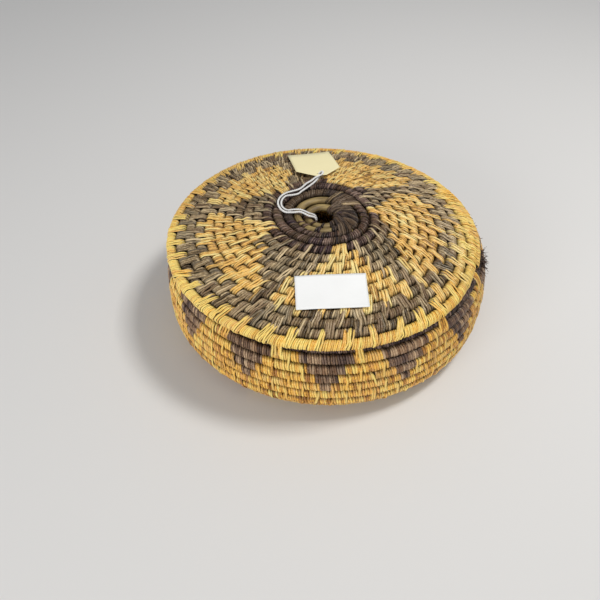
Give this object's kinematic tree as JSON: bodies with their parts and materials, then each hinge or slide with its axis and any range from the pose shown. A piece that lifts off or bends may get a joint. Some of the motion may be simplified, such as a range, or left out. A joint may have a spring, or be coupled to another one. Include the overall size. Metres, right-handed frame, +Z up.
{
  "type": "lidded coiled basket",
  "caption": "Round coiled basket with a shallow conical lid that lifts off, a price label and a string tag on the lid.",
  "frame": {"origin": "middle of the basket's flat base", "axes": "+Z up along the basket's axis; -Y is the front, where the label lies; +X to the right seen from the front"},
  "size_m": [0.1994, 0.1994, 0.0752],
  "materials": {
    "light_straw": "matt, split plant fibre, golden tan",
    "dark_straw": "matt, dyed plant fibre, grey-brown to plum",
    "bare_straw": "matt, unwrapped grass bundle, olive tan",
    "white_paper": "smooth paper",
    "manila_card": "smooth manila card",
    "white_cotton": "twisted cotton string"
  },
  "bodies": {
    "basket": {"base_coil": "light_straw", "foot_coil": "light_straw", "wall_coil": "light_straw", "basket_rim_coil": "dark_straw"},
    "lid": {"well_coil": "bare_straw", "crest_coil": "dark_straw", "upper_slope_coil": "light_straw", "lower_slope_coil": "dark_straw", "lid_rim_coil": "light_straw", "collar_coil": "light_straw", "label": "white_paper", "tag": "manila_card", "string": "white_cotton", "string_knot": "white_cotton"}
  },
  "joints": [
    {"name": "lid_lift", "type": "slide", "parent": "basket", "child": "lid", "axis": [0, 0, 1], "range_m": [0, 0.08]}
  ]
}
